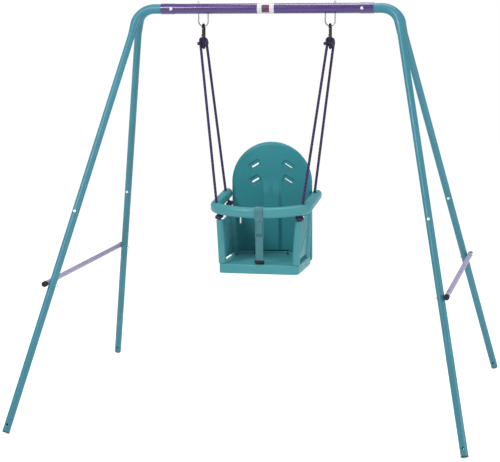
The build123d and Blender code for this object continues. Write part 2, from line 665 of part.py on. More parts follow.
# ---------------------------------------------------------------- fasteners
def frame_fasteners():
    """Bolts and nuts of the frame, grouped by kind."""
    groups = {"bar_bolts": [], "bar_nuts": [], "leg_joint_bolts": [], "leg_joint_nuts": [],
              "brace_bolts": [], "brace_nuts": [], "hanger_nuts": []}
    for _, side in SIDES:
        head = (side * BAR_BOLT_X, -BELL_OD / 2, BAR_Z)
        tail = (side * BAR_BOLT_X, BELL_OD / 2, BAR_Z)
        groups["bar_bolts"].append(bolt(head, (0, 1, 0), BELL_OD + 9.0, M6, 7.0, 3.5))
        groups["bar_nuts"].append(nut(tail, (0, 1, 0), M6, 5.0))
        top = (side * (HANGER_X + HANGER_R), 0, BAR_Z + BAR_OD / 2)
        groups["hanger_nuts"].append(nut(top, (0, 0, 1), HANGER_WIRE, 5.0))
        leg_x, leg_y, outward, apart = brace_frame(side)
        for _, end in ENDS:
            middle = leg_point(side, end, JOINT_BOLT_UP)
            way = across_leg(side, end)
            front = middle - way * (LEG_OD / 2)
            back = middle + way * (LEG_OD / 2)
            groups["leg_joint_bolts"].append(bolt(front, way, LEG_OD + 8.0, M6, 6.5, 3.5))
            groups["leg_joint_nuts"].append(nut(back, way, M6, 5.0))
            crossing = Vector(leg_x, end * leg_y, BRACE_Z)
            outer = crossing + outward * (apart + BRACE_OD / 2)
            inner = crossing - outward * (LEG_OD / 2)
            shank = LEG_OD + BRACE_OD + 10.0
            groups["brace_bolts"].append(bolt(outer, -outward, shank, M6, 7.0, 4.0))
            groups["brace_nuts"].append(nut(inner, -outward, M6, 5.5))
    return groups


def ring_bolts():
    bolts = []
    for _, side in SIDES:
        head = (side * (RING_ARM_X + RING_WIDTH / 2), RING_BOLT_Y, ring_z(RING_BOLT_Y))
        bolts.append(bolt(head, (-side, 0, 0), RING_WIDTH + 18.0, M6, 7.0, 4.0))
    return Part() + bolts


# ---------------------------------------------------------------- build
PURPLE = (0.34, 0.27, 0.52)
TEAL = (0.29, 0.55, 0.60)
SEAT_TEAL = (0.22, 0.50, 0.54)
LILAC = (0.72, 0.70, 0.80)
STEEL = (0.62, 0.62, 0.60)
BLACK = (0.08, 0.08, 0.09)
ROPE_PURPLE = (0.25, 0.20, 0.40)


def build_frame():
    save(top_bar(), "top_bar", PURPLE)
    save(bar_label(), "bar_label", (0.95, 0.95, 0.95))
    for side_name, side in SIDES:
        save(brace(side), f"brace_{side_name}", LILAC)
        save(hanger(side), f"hanger_{side_name}", STEEL)
        for end_name, end in ENDS:
            place = f"{end_name}_{side_name}"
            bolt_hole = cross_hole(side, end, JOINT_BOLT_UP, M6 / 2)
            top_half = upper_leg(side, end) - bolt_hole - bar_bolt_pin(side, M6 / 2)
            save(top_half, f"upper_leg_{place}", TEAL)
            save(lower_leg(side, end), f"lower_leg_{place}", TEAL)
            save(foot_plug(side, end), f"foot_plug_{place}", BLACK)
            save(brace_cap(side, end), f"brace_cap_{place}", BLACK)
    for name, pieces in frame_fasteners().items():
        save(Compound(children=pieces), name, STEEL)


def build_swing():
    save(Compound(children=[gate_pin(side) for _, side in SIDES]), "gate_pins", STEEL)
    base_knots = []
    for side_name, side in SIDES:
        snap = hook(side)
        knot = top_knot_mass(side)
        save(snap, f"snap_hook_{side_name}", BLACK)
        save(hook_gate(side), f"hook_gate_{side_name}", BLACK)
        save(knot - snap, f"rope_knot_{side_name}", ROPE_PURPLE)
        save(side_panel(side), f"side_panel_{side_name}", SEAT_TEAL)
        for end_name, end in ENDS:
            line = rope(side, end)
            place = f"{end_name}_{side_name}"
            length = line.volume / (pi * (ROPE_OD / 2) ** 2)
            bends = [round(radius) for radius in rope_radii(rope_route(side, end))]
            print(place, "rope length", round(length, 1), "bend radii", bends)
            save(line - knot, f"rope_{place}", ROPE_PURPLE)
            save(ring_knot(side, end) - line, f"ring_knot_{place}", ROPE_PURPLE)
            base_knots.append((base_knot(side, end) - line).solids()[0])
    save(Compound(children=base_knots), "base_knots", ROPE_PURPLE)
    save(tray(), "seat_tray", SEAT_TEAL)
    save(seat_back(), "seat_back", SEAT_TEAL)
    save(guard_ring(), "guard_ring", SEAT_TEAL)
    save(ring_bolts(), "ring_bolts", STEEL)
    save(back_screws(), "back_screws", STEEL)
    save(crotch_strap() - strap_anchor(), "crotch_strap", SEAT_TEAL)
    save(strap_buckle(), "strap_buckle", BLACK)
    save(strap_anchor(), "strap_anchor", BLACK)


os.makedirs("parts", exist_ok=True)
build_frame()
build_swing()
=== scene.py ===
"""Looks of the toddler garden swing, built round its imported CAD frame. Metres, +Z up."""
from math import ceil, cos, hypot, pi, radians, sin, sqrt

import bmesh
import bpy
import numpy as np
from mathutils import Matrix, Vector


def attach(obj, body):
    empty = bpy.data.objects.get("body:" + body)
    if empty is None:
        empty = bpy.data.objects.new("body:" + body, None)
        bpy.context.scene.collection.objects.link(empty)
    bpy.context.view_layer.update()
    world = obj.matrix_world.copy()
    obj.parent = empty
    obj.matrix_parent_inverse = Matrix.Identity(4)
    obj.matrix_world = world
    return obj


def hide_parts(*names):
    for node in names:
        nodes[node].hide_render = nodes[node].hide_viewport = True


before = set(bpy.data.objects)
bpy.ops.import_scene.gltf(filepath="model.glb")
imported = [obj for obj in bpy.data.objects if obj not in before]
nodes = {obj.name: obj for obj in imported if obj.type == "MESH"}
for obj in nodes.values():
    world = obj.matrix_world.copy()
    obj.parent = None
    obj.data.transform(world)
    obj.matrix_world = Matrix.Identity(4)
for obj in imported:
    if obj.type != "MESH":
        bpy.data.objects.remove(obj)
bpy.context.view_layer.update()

SIDES = (("left", -1), ("right", 1))
ENDS = (("front", -1), ("rear", 1))
PLACES = [(f"{end_name}_{side_name}", side, end) for side_name, side in SIDES for end_name, end in ENDS]

# ---------------------------------------------------------------- sizes shared with the CAD part
BAR_Z = 1.778
HANGER_X = 0.288
TRAY_TOP = 0.658
TRAY_REAR = 0.092
BACK_HALF = 0.186
BACK_DEPTH = 0.024
BACK_BOTTOM = 0.630
BACK_ARCH_Z = 0.989
VENT_TILT = radians(31.0)
VENT_X = 0.077
VENT_ZS = (1.067, 0.998)
VENT_LENGTH = 0.041
VENT_WIDTH = 0.0075
BELT_X = 0.148
BELT_Z = 0.817
BELT_LENGTH = 0.044
BELT_WIDTH = 0.009
RING_FRONT = -0.247
RING_FRONT_Z = 0.895
RING_RISE = 0.115
RING_ARM_X = 0.2085
RING_ARM_END = 0.117
RING_BULGE_R = 0.300
RING_CORNER_R = 0.075
RING_WIDTH = 0.042
RING_HEIGHT = 0.046
RING_SECTION_R = 0.017
RING_HOLE_R = 0.0078
PILLAR_X = 0.166
PILLAR_LEAN = 0.06
PILLAR_LEAN_Y = {-1: 0.05, 1: 0.02}
FOOT_Y = {-1: -0.187, 1: 0.049}
HOLE_X = {-1: 0.1915, 1: 0.204}
HOLE_Y = {-1: -0.1755, 1: 0.055}
HEAD_DROP = 0.051
ROPE_R = 0.0055
ROPE_SPREAD = 0.013
ROPE_TOP_Z = 1.616
ROPE_TOP_Y = 0.006
ROPE_END_DROP = 0.016
RING_KNOT_DROP = 0.039
HOLE_TURN = 0.75 * 0.45
TAB_HALF = 0.075
TAB_TOP_Z = TRAY_TOP + 0.0175
STRAP_WIDTH = 0.038
STRAP_SLOT_Y = -0.187
STRAP_DEPTH = 0.014
STRAP_HIGH_X = 0.015
STRAP_LOW_X = 0.002

# ---------------------------------------------------------------- the camera
CAMERA_PLACE = (1.52686, -7.22005, 1.8656)
CAMERA_YAW = 0.2192
CAMERA_PITCH = 0.1461
CAMERA_ROLL = -0.0075
CAMERA_LENS = 118.57
CAMERA_SENSOR = 36.0

# ---------------------------------------------------------------- sizes of the finer shapes
LABEL_WIDTH = 0.076
LABEL_BLOCK_HALF = 0.017
BRAID_YARNS = 8
BRAID_LEAD = 0.034
BRAID_RELIEF = 0.0009
BRAID_SUNK = 0.2
KNOT_STEP = 0.0009
BASE_KNOT_R = 0.0042
BACK_CORNER_R = 0.012
BACK_CORE = 0.176
BACK_FRONT_ROUND = 0.011
BACK_REAR_ROUND = 0.006
SPINE_HEIGHT = 0.012
SPINE_FLAT_X = 0.032
SPINE_FOOT_X = 0.050
VENT_FRAME = (0.058, 0.038, 0.008)
VENT_FRAME_DEPTH = 0.0048
NOTCH_HEIGHT = 0.0055
NOTCH_DEPTH = 0.012
RING_END_ROUND = 0.012
SEAM_FROM_TOP = 0.090
STITCH_PITCH = 0.0042
STITCH_LENGTH = STITCH_PITCH * 0.72
STRAP_LAYER = 0.0011
THREAD_PITCH = 0.0011
WELD = 0.000005
FLOOR_REACH = 60.0


# ---------------------------------------------------------------- camera, light and floor
def make_camera():
    """A long lens, a little above the bar and to the right of the middle."""
    level = Vector((-sin(CAMERA_YAW), cos(CAMERA_YAW), 0))
    right = Vector((cos(CAMERA_YAW), sin(CAMERA_YAW), 0))
    up = Vector((0, 0, 1))
    forward = level * cos(CAMERA_PITCH) - up * sin(CAMERA_PITCH)
    upward = up * cos(CAMERA_PITCH) + level * sin(CAMERA_PITCH)
    rolled_right = right * cos(CAMERA_ROLL) + upward * sin(CAMERA_ROLL)
    rolled_up = upward * cos(CAMERA_ROLL) - right * sin(CAMERA_ROLL)
    turn = Matrix((rolled_right, rolled_up, -forward)).transposed().to_4x4()
    data = bpy.data.cameras.new("camera")
    data.lens = CAMERA_LENS
    data.sensor_width = CAMERA_SENSOR
    data.clip_end = 100.0
    camera = bpy.data.objects.new("camera", data)
    camera.matrix_world = Matrix.Translation(CAMERA_PLACE) @ turn
    bpy.context.scene.collection.objects.link(camera)
    bpy.context.scene.camera = camera


def area_light(name, place, target, size, power):
    """A round white lamp aimed at a point."""
    data = bpy.data.lights.new(name, "AREA")
    data.shape = "DISK"
    data.size = size
    data.energy = power
    light = bpy.data.objects.new(name, data)
    light.location = place
    aim = Vector(target) - Vector(place)
    light.rotation_euler = aim.to_track_quat("-Z", "Y").to_euler()
    bpy.context.scene.collection.objects.link(light)


def make_studio():
    """A white backdrop for the camera, a dimmer white light from all sides and three soft lamps."""
    scene = bpy.context.scene
    scene.view_settings.view_transform = "Standard"
    world = bpy.data.worlds.new("studio")
    world.use_nodes = True
    tree = world.node_tree
    backdrop = tree.nodes["Background"]
    backdrop.inputs["Color"].default_value = (1.0, 1.0, 1.0, 1.0)
    path = tree.nodes.new("ShaderNodeLightPath")
    level = tree.nodes.new("ShaderNodeMapRange")
    level.inputs["To Min"].default_value = 0.45
    level.inputs["To Max"].default_value = 1.0
    tree.links.new(path.outputs["Is Camera Ray"], level.inputs["Value"])
    tree.links.new(level.outputs["Result"], backdrop.inputs["Strength"])
    scene.world = world
    area_light("key", (-2.4, -3.6, 4.2), (0, 0, 1.0), 1.8, 190)
    area_light("fill", (4.4, -1.5, 1.7), (0, 0, 0.9), 2.5, 95)
    area_light("top", (0.2, 0.4, 4.8), (0, 0, 1.0), 2.2, 90)


def make_floor():
    """A floor that reaches to the horizon."""
    mesh = bpy.data.meshes.new("floor")
    corners = [(x * FLOOR_REACH, y * FLOOR_REACH, 0) for x, y in ((-1, -1), (1, -1), (1, 1), (-1, 1))]
    mesh.from_pydata(corners, [], [(0, 1, 2, 3)])
    floor = bpy.data.objects.new("floor", mesh)
    bpy.context.scene.collection.objects.link(floor)
    floor.data.materials.append(floor_material())


# ---------------------------------------------------------------- material nodes
class Shade:
    """A material under construction: short names for the nodes that the finishes use."""

    def __init__(self, name, roughness, metallic=0.0):
        self.material = bpy.data.materials.new(name)
        self.material.use_nodes = True
        self.tree = self.material.node_tree
        self.shader = self.tree.nodes["Principled BSDF"]
        self.shader.inputs["Roughness"].default_value = roughness
        self.shader.inputs["Metallic"].default_value = metallic
        self.place = self.tree.nodes.new("ShaderNodeTexCoord").outputs["Object"]

    def link(self, source, target):
        self.tree.links.new(source, target)

    def noise(self, scale, detail=3.0, stretch=None):
        node = self.tree.nodes.new("ShaderNodeTexNoise")
        node.inputs["Scale"].default_value = scale
        node.inputs["Detail"].default_value = detail
        place = self.place
        if stretch:
            mapping = self.tree.nodes.new("ShaderNodeMapping")
            mapping.inputs["Scale"].default_value = stretch
            self.link(self.place, mapping.inputs["Vector"])
            place = mapping.outputs["Vector"]
        self.link(place, node.inputs["Vector"])
        return node.outputs["Fac"]

    def ramp(self, source, stops):
        """A colour ramp; `stops` are (position, colour or grey value)."""
        node = self.tree.nodes.new("ShaderNodeValToRGB")
        band = node.color_ramp
        while len(band.elements) < len(stops):
            band.elements.new(0.5)
        for element, (position, colour) in zip(band.elements, stops):
            element.position = position
            grey = not isinstance(colour, tuple)
            element.color = (colour, colour, colour, 1.0) if grey else (*colour, 1.0)
        self.link(source, node.inputs["Fac"])
        return node.outputs["Color"]

    def mix(self, share, first, second):
        node = self.tree.nodes.new("ShaderNodeMix")
        node.data_type = "RGBA"
        self.link(share, node.inputs["Factor"])
        self.link(first, node.inputs[6])
        self.link(second, node.inputs[7])
        return node.outputs[2]

    def maths(self, operation, first, second):
        """One maths node; each operand is a socket or a number."""
        node = self.tree.nodes.new("ShaderNodeMath")
        node.operation = operation
        for slot, value in zip(node.inputs, (first, second)):
            if isinstance(value, (int, float)):
                slot.default_value = value
            else:
                self.link(value, slot)
        return node.outputs["Value"]

    def colour(self, source):
        self.link(source, self.shader.inputs["Base Color"])

    def roughness(self, source):
        self.link(source, self.shader.inputs["Roughness"])

    def bump(self, source, distance, strength, under=None):
        node = self.tree.nodes.new("ShaderNodeBump")
        node.inputs["Distance"].default_value = distance
        node.inputs["Strength"].default_value = strength
        self.link(source, node.inputs["Height"])
        if under is not None:
            self.link(under, node.inputs["Normal"])
        self.link(node.outputs["Normal"], self.shader.inputs["Normal"])
        return node.outputs["Normal"]

    def attribute(self, name):
        node = self.tree.nodes.new("ShaderNodeAttribute")
        node.attribute_name = name
        return node.outputs["Fac"]

    def edges(self, low, high):
        """White along sharp convex edges, from the mesh's own shape."""
        node = self.tree.nodes.new("ShaderNodeNewGeometry")
        return self.ramp(node.outputs["Pointiness"], [(low, 0.0), (high, 1.0)])


def linear(red, green, blue):
    """An 8-bit display colour as linear values."""
    def channel(value):
        share = value / 255.0
        return share / 12.92 if share <= 0.04045 else ((share + 0.055) / 1.055) ** 2.4
    return channel(red), channel(green), channel(blue)


def shaded(colour, factor):
    """The same colour, lighter or darker."""
    return tuple(min(1.0, value * factor) for value in colour)


def floor_material():
    """A pale paper floor that glows a little, so that it meets the backdrop without an edge."""
    shade = Shade("studio_floor", 0.9)
    shade.colour(shade.ramp(shade.noise(2.0), [(0.3, 0.40), (0.7, 0.42)]))
    shade.shader.inputs["Specular IOR Level"].default_value = 0.0
    shade.shader.inputs["Emission Color"].default_value = (1.0, 1.0, 1.0, 1.0)
    shade.shader.inputs["Emission Strength"].default_value = 0.82
    return shade.material


def powder_coat(name, colour, gloss=0.42, coat=0.06):
    """Baked powder paint on steel tube: orange peel, a soft clear top, faint rubs and dust."""
    shade = Shade(name, gloss)
    cloudy = shade.ramp(shade.noise(7.0, 4.0), [(0.3, shaded(colour, 0.93)), (0.7, shaded(colour, 1.07))])
    rubs = shade.ramp(shade.noise(60.0, 8.0, (1.0, 1.0, 0.12)), [(0.66, 0.0), (0.74, 0.35)])
    pale = shade.ramp(shade.noise(40.0), [(0.0, shaded(colour, 1.25)), (1.0, shaded(colour, 1.45))])
    shade.colour(shade.mix(rubs, cloudy, pale))
    shade.roughness(shade.ramp(shade.noise(25.0, 5.0), [(0.3, gloss - 0.06), (0.7, gloss + 0.10)]))
    peel = shade.bump(shade.noise(900.0, 2.0), 0.00012, 0.35)
    shade.bump(shade.noise(160.0, 2.0), 0.0003, 0.15, peel)
    shade.shader.inputs["Specular IOR Level"].default_value = 0.35
    shade.shader.inputs["Coat Weight"].default_value = coat
    shade.shader.inputs["Coat Roughness"].default_value = 0.20
    return shade.material


def bright_zinc(name, grey, metallic):
    """Zinc-plated wire and bolts: brushed, a little dull and slightly warm in patches."""
    shade = Shade(name, 0.34, metallic)
    base = linear(grey, grey, grey)
    warm = linear(grey - 10, grey - 16, grey - 30)
    patch = shade.ramp(shade.noise(120.0, 5.0), [(0.45, 0.0), (0.75, 0.6)])
    plain = shade.ramp(shade.noise(400.0), [(0.3, shaded(base, 0.85)), (0.7, base)])
    tint = shade.ramp(shade.noise(300.0), [(0.3, shaded(warm, 0.85)), (0.7, warm)])
    shade.colour(shade.mix(patch, plain, tint))
    shade.roughness(shade.ramp(shade.noise(220.0, 6.0), [(0.3, 0.24), (0.7, 0.48)]))
    shade.bump(shade.noise(1500.0, 3.0, (1.0, 1.0, 0.2)), 0.00008, 0.4)
    return shade.material


def black_coat(name, bright=1.0):
    """Black coated steel with paint worn thin along its edges."""
    shade = Shade(name, 0.42)
    base = shaded(linear(20, 20, 23), bright)
    pale_edge = linear(64, 62, 61)
    patchy = shade.ramp(shade.noise(500.0, 6.0), [(0.45, 0.0), (0.6, 1.0)])
    wear = shade.maths("MULTIPLY", shade.edges(0.52, 0.60), patchy)
    plain = shade.ramp(shade.noise(80.0, 4.0), [(0.3, shaded(base, 0.75)), (0.7, shaded(base, 1.2))])
    bare = shade.ramp(shade.noise(700.0), [(0.3, shaded(pale_edge, 0.7)), (0.7, pale_edge)])
    shade.colour(shade.mix(wear, plain, bare))
    shade.roughness(shade.ramp(shade.noise(150.0, 5.0), [(0.3, 0.34), (0.7, 0.52)]))
    shade.bump(shade.noise(1200.0, 2.0), 0.0001, 0.2)
    shade.shader.inputs["Specular IOR Level"].default_value = 0.25
    return shade.material


def moulded_plastic(name, colour, gloss=0.40, grain=1400.0):
    """Blow-moulded polyethylene: a fine grain, slow waves in the wall, scuffs, and paler edges that are
    partly wear and partly a painted highlight.
    """
    shade = Shade(name, gloss)
    cloudy = shade.ramp(shade.noise(5.0, 4.0), [(0.3, shaded(colour, 0.95)), (0.7, shaded(colour, 1.05))])
    pale = shade.ramp(shade.noise(300.0), [(0.0, shaded(colour, 1.25)), (1.0, shaded(colour, 1.4))])
    # Paler convex edges: partly edge wear, partly a painted highlight where light catches the edges and
    # ribs.
    pale_edge = shade.maths("MULTIPLY", shade.edges(0.54, 0.64), 0.35)
    scuffs = shade.ramp(shade.noise(45.0, 9.0, (1.0, 0.35, 2.2)), [(0.63, 0.0), (0.72, 0.30)])
    shade.colour(shade.mix(shade.maths("MAXIMUM", pale_edge, scuffs), cloudy, pale))
    shade.roughness(shade.ramp(shade.noise(30.0, 6.0), [(0.3, gloss - 0.05), (0.7, gloss + 0.12)]))
    waves = shade.bump(shade.noise(18.0, 1.0), 0.0015, 0.20)
    shade.bump(shade.noise(grain, 2.0), 0.00015, 0.45, waves)
    shade.shader.inputs["Specular IOR Level"].default_value = 0.30
    shade.shader.inputs["Subsurface Weight"].default_value = 0.06
    shade.shader.inputs["Subsurface Radius"].default_value = (0.003, 0.004, 0.004)
    return shade.material


def rope_fibre():
    """Purple braid with paler tracer yarns, and fine fibres along each yarn."""
    shade = Shade("rope_fibre", 0.75)
    dark = linear(36, 22, 62)
    pale = linear(74, 56, 108)
    yarn = shade.ramp(shade.noise(900.0, 4.0), [(0.3, shaded(dark, 0.70)), (0.7, shaded(dark, 1.30))])
    tracer = shade.ramp(shade.noise(900.0, 4.0), [(0.3, shaded(pale, 0.75)), (0.7, shaded(pale, 1.15))])
    shade.colour(shade.mix(shade.attribute("tracer"), yarn, tracer))
    shade.bump(shade.noise(2600.0, 3.0, (1.0, 1.0, 0.35)), 0.0004, 0.6)
    shade.shader.inputs["Sheen Weight"].default_value = 0.15
    shade.shader.inputs["Sheen Roughness"].default_value = 0.4
    shade.shader.inputs["Specular IOR Level"].default_value = 0.3
    return shade.material


def webbing(name, colour):
    """Plain-woven polyester webbing: a weave in the strap's own run and width."""
    shade = Shade(name, 0.72)
    along = shade.attribute("along")
    across = shade.attribute("across")
    warp = shade.maths("SINE", shade.maths("MULTIPLY", across, pi / THREAD_PITCH), 0.0)
    weft = shade.maths("SINE", shade.maths("MULTIPLY", along, pi / THREAD_PITCH), 0.0)
    weave = shade.maths("ADD", shade.maths("MULTIPLY", shade.maths("MULTIPLY", warp, weft), 0.5), 0.5)
    tone = shade.ramp(weave, [(0.0, shaded(colour, 0.78)), (0.6, colour), (1.0, shaded(colour, 1.12))])
    faded = shade.ramp(shade.noise(60.0, 6.0), [(0.3, shaded(colour, 0.9)), (0.7, shaded(colour, 1.15))])
    shade.colour(shade.mix(shade.ramp(shade.noise(35.0, 5.0), [(0.3, 0.15), (0.7, 0.45)]), tone, faded))
    fibres = shade.bump(shade.noise(3200.0, 3.0), 0.0002, 0.4)
    shade.bump(weave, 0.0004, 0.8, fibres)
    shade.shader.inputs["Sheen Weight"].default_value = 0.3
    shade.shader.inputs["Specular IOR Level"].default_value = 0.3
    return shade.material


def printed_band():
    """White film round the middle of the bar, with one plain block in two tones on its front."""
    shade = Shade("printed_band", 0.32)
    split = shade.tree.nodes.new("ShaderNodeSeparateXYZ")
    shade.link(shade.place, split.inputs["Vector"])
    across = shade.maths("ADD", shade.maths("MULTIPLY", split.outputs["X"], 1.0 / LABEL_WIDTH), 0.5)
    white = linear(188, 188, 187)
    plum = linear(104, 20, 66)
    slate = linear(52, 50, 84)
    blocks = shade.ramp(across, [(0.0, white), (0.27, slate), (0.50, plum), (0.73, white)])
    blocks.node.color_ramp.interpolation = "CONSTANT"
    height = shade.maths("ABSOLUTE", shade.maths("SUBTRACT", split.outputs["Z"], BAR_Z), 0.0)
    front = shade.maths("LESS_THAN", split.outputs["Y"], 0.0)
    inside = shade.maths("MULTIPLY", front, shade.maths("LESS_THAN", height, LABEL_BLOCK_HALF))
    plain = shade.ramp(shade.noise(200.0, 6.0), [(0.3, shaded(white, 0.9)), (0.7, white)])
    shade.colour(shade.mix(inside, plain, blocks))
    shade.roughness(shade.ramp(shade.noise(90.0, 4.0), [(0.3, 0.26), (0.7, 0.42)]))
    shade.bump(shade.noise(500.0, 2.0), 0.0001, 0.2)
    return shade.material


# ---------------------------------------------------------------- mesh helpers
def add_object(name, mesh, material, body, replaced):
    """Links a mesh as a piece of the object that rides on a body."""
    piece = bpy.data.objects.new(name, mesh)
    bpy.context.scene.collection.objects.link(piece)
    mesh.materials.clear()
    mesh.materials.append(material)
    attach(piece, body)
    if replaced:
        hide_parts(*replaced)
    return piece


def mesh_of(name, points, faces, smooth=True):
    """A mesh from points and faces."""
    mesh = bpy.data.meshes.new(name)
    mesh.from_pydata([tuple(point) for point in points], [], faces)
    mesh.update()
    if smooth:
        mesh.polygons.foreach_set("use_smooth", [True] * len(mesh.polygons))
    return mesh


def outward_mesh(name, points, faces, smooth=True):
    """A closed mesh whose faces all look outwards, as a boolean needs."""
    mesh = mesh_of(name, points, faces, smooth)
    build = bmesh.new()
    build.from_mesh(mesh)
    bmesh.ops.recalc_face_normals(build, faces=build.faces)
    build.to_mesh(mesh)
    build.free()
    return mesh


def loop_faces(rings, count):
    """Quads between successive rings of `count` points, with the two end rings closed."""
    faces = []
    for ring in range(rings - 1):
        first = ring * count
        for step in range(count):
            after = (step + 1) % count
            faces.append((first + step, first + after, first + count + after, first + count + step))
    faces.append(tuple(reversed(range(count))))
    faces.append(tuple(range((rings - 1) * count, rings * count)))
    return faces


def spline_points(control, resolution=24):
    """The points of a NURBS line of order 3 with these control points."""
    data = bpy.data.curves.new("route", "CURVE")
    data.dimensions = "3D"
    spline = data.splines.new("NURBS")
    spline.points.add(len(control) - 1)
    for point, place in zip(spline.points, control):
        point.co = (*place, 1.0)
    spline.order_u = 3
    spline.use_endpoint_u = True
    spline.resolution_u = resolution
    holder = bpy.data.objects.new("route", data)
    line = bpy.data.meshes.new_from_object(holder)
    points = np.array([vertex.co[:] for vertex in line.vertices])
    bpy.data.objects.remove(holder)
    bpy.data.curves.remove(data)
    bpy.data.meshes.remove(line)
    return points


def resampled(points, step):
    """The same line with its points `step` apart, or as near to it as divides it evenly."""
    lengths = np.linalg.norm(np.diff(points, axis=0), axis=1)
    along = np.concatenate([[0.0], np.cumsum(lengths)])
    count = max(2, int(ceil(along[-1] / step)) + 1)
    wanted = np.linspace(0.0, along[-1], count)
    return np.stack([np.interp(wanted, along, points[:, axis]) for axis in range(3)], axis=1), wanted


def frames_along(points):
    """Two unit vectors square to the line at each point, carried along without twist."""
    ways = np.gradient(points, axis=0)
    ways /= np.linalg.norm(ways, axis=1)[:, None]
    helper = np.array([0.0, 1.0, 0.0]) if abs(ways[0][1]) < 0.9 else np.array([1.0, 0.0, 0.0])
    first = np.zeros_like(points)
    previous = np.cross(ways[0], helper)
    for index, way in enumerate(ways):
        previous = previous - way * np.dot(previous, way)
        previous /= np.linalg.norm(previous)
        first[index] = previous
    return first, np.cross(ways, first)


def braided_mesh(name, line, radius, step=0.00125):
    """A braided rope skin: two families of yarns that pass over and under each other."""
    around = 40
    points, along = resampled(line, step)
    first, second = frames_along(points)
    turn = np.arange(around) / around
    left = BRAID_YARNS * turn[None, :] + along[:, None] * BRAID_YARNS / BRAID_LEAD
    right = BRAID_YARNS * turn[None, :] - along[:, None] * BRAID_YARNS / BRAID_LEAD
    on_top = (np.floor(left) + np.floor(right)) % 2 == 0
    crown_left = np.sin(pi * (left % 1.0)) * (0.55 + 0.45 * np.sin(pi * (right % 1.0)))
    crown_right = np.sin(pi * (right % 1.0)) * (0.55 + 0.45 * np.sin(pi * (left % 1.0)))
    crown = np.where(on_top, crown_left, crown_right)
    tracer_left = (np.floor(left) % BRAID_YARNS) % 4 == 1
    tracer_right = (np.floor(right) % BRAID_YARNS) % 4 == 2
    tracer = np.where(on_top, tracer_left, tracer_right)
    out = (radius + BRAID_RELIEF * (crown - BRAID_SUNK))[..., None]
    angle = 2 * pi * turn
    spoke = np.cos(angle)[None, :, None] * first[:, None, :]
    spoke = spoke + np.sin(angle)[None, :, None] * second[:, None, :]
    skin = (points[:, None, :] + spoke * out).reshape(-1, 3)
    mesh = mesh_of(name, skin, loop_faces(len(points), around))
    layer = mesh.attributes.new("tracer", "FLOAT", "POINT")
    layer.data.foreach_set("value", tracer.astype(float).ravel())
    return mesh, points


def joined(name, meshes):
    """One mesh from several, with their point attributes kept."""
    build = bmesh.new()
    for mesh in meshes:
        build.from_mesh(mesh)
        bpy.data.meshes.remove(mesh)
    result = bpy.data.meshes.new(name)
    build.to_mesh(result)
    build.free()
    return result


def apply_modifiers(piece):
    """Gives a piece the mesh that its modifiers make of it."""
    bpy.context.view_layer.update()
    graph = bpy.context.evaluated_depsgraph_get()
    result = bpy.data.meshes.new_from_object(piece.evaluated_get(graph))
    piece.modifiers.clear()
    old = piece.data
    piece.data = result
    bpy.data.meshes.remove(old)


def cut_away(piece, cutters):
    """Boolean difference, applied to the mesh."""
    for cutter in cutters:
        bpy.context.scene.collection.objects.link(cutter)
        modifier = piece.modifiers.new("cut", "BOOLEAN")
        modifier.operation = "DIFFERENCE"
        modifier.solver = "EXACT"
        modifier.object = cutter
    apply_modifiers(piece)
    for cutter in cutters:
        bpy.data.objects.remove(cutter)


def prism(name, outline, plane_origin, along_x, along_y, depth_way):
    """A closed block: an outline in a plane, pushed along `depth_way`."""
    near = [plane_origin + along_x * x + along_y * y for x, y in outline]
    far = [point + depth_way for point in near]
    count = len(outline)
    mesh = outward_mesh(name, near + far, loop_faces(2, count), smooth=False)
    return bpy.data.objects.new(name, mesh)


def rounded_outline(width, height, radius, steps=8):
    """Points of a rounded rectangle about the origin, counter-clockwise."""
    points = []
    for corner, (cx, cy) in enumerate(((1, 1), (-1, 1), (-1, -1), (1, -1))):
        for step in range(steps + 1):
            angle = pi / 2 * (corner + step / steps)
            points.append((cx * (width / 2 - radius) + radius * cos(angle),
                           cy * (height / 2 - radius) + radius * sin(angle)))
    return points


def moulded_copy(name, node, voxel, rounds, material, body):
    """A softened copy of a CAD node: remeshed, with its edges rounded as a mould leaves them."""
    mesh = nodes[node].data.copy()
    build = bmesh.new()
    build.from_mesh(mesh)
    bmesh.ops.remove_doubles(build, verts=build.verts, dist=WELD)
    build.to_mesh(mesh)
    build.free()
    piece = add_object(name, mesh, material, body, (node,))
    remesh = piece.modifiers.new("remesh", "REMESH")
    remesh.mode = "VOXEL"
    remesh.voxel_size = voxel
    soften = piece.modifiers.new("soften", "SMOOTH")
    soften.factor = 0.5
    soften.iterations = rounds
    apply_modifiers(piece)
    piece.data.materials.clear()
    piece.data.materials.append(material)
    piece.data.polygons.foreach_set("use_smooth", [True] * len(piece.data.polygons))


def smoothstep(low, high, value):
    """0 up to `low`, 1 from `high` on, and an S-shaped rise between them."""
    share = np.clip((value - low) / (high - low), 0.0, 1.0)
    return share * share * (3.0 - 2.0 * share)


# ---------------------------------------------------------------- ropes and knots
def ring_z(y):
    """Height of the guard ring's axis at a given depth."""
    return RING_FRONT_Z + RING_RISE * (y - RING_FRONT)


def pillar_point(side, end, up):
    """The point on a rope pillar's axis at a given height over the tray."""
    x = side * (PILLAR_X + PILLAR_LEAN * up)
    return Vector((x, FOOT_Y[end] + PILLAR_LEAN_Y[end] * up, TRAY_TOP + up))


def rope_stations(side, end):
    """A rope's top knot, ring hole, pillar top and lower end, as in the CAD part."""
    top = Vector((side * HANGER_X + end * ROPE_SPREAD, end * ROPE_TOP_Y, ROPE_TOP_Z))
    hole = Vector((side * HOLE_X[end], HOLE_Y[end], ring_z(HOLE_Y[end])))
    head = pillar_point(side, end, hole.z - HEAD_DROP - TRAY_TOP)
    return top, hole, head, pillar_point(side, end, -ROPE_END_DROP)


def rope_route(side, end):
    """Control points of a rope's line, with one beside the ring hole and one under the pillar's top."""
    top, hole, head, low = rope_stations(side, end)
    beside = (head - hole).length
    above = hole + (top - hole).normalized() * beside
    below = head + (low - head).normalized() * beside
    return [top, above, hole, head, below, low]


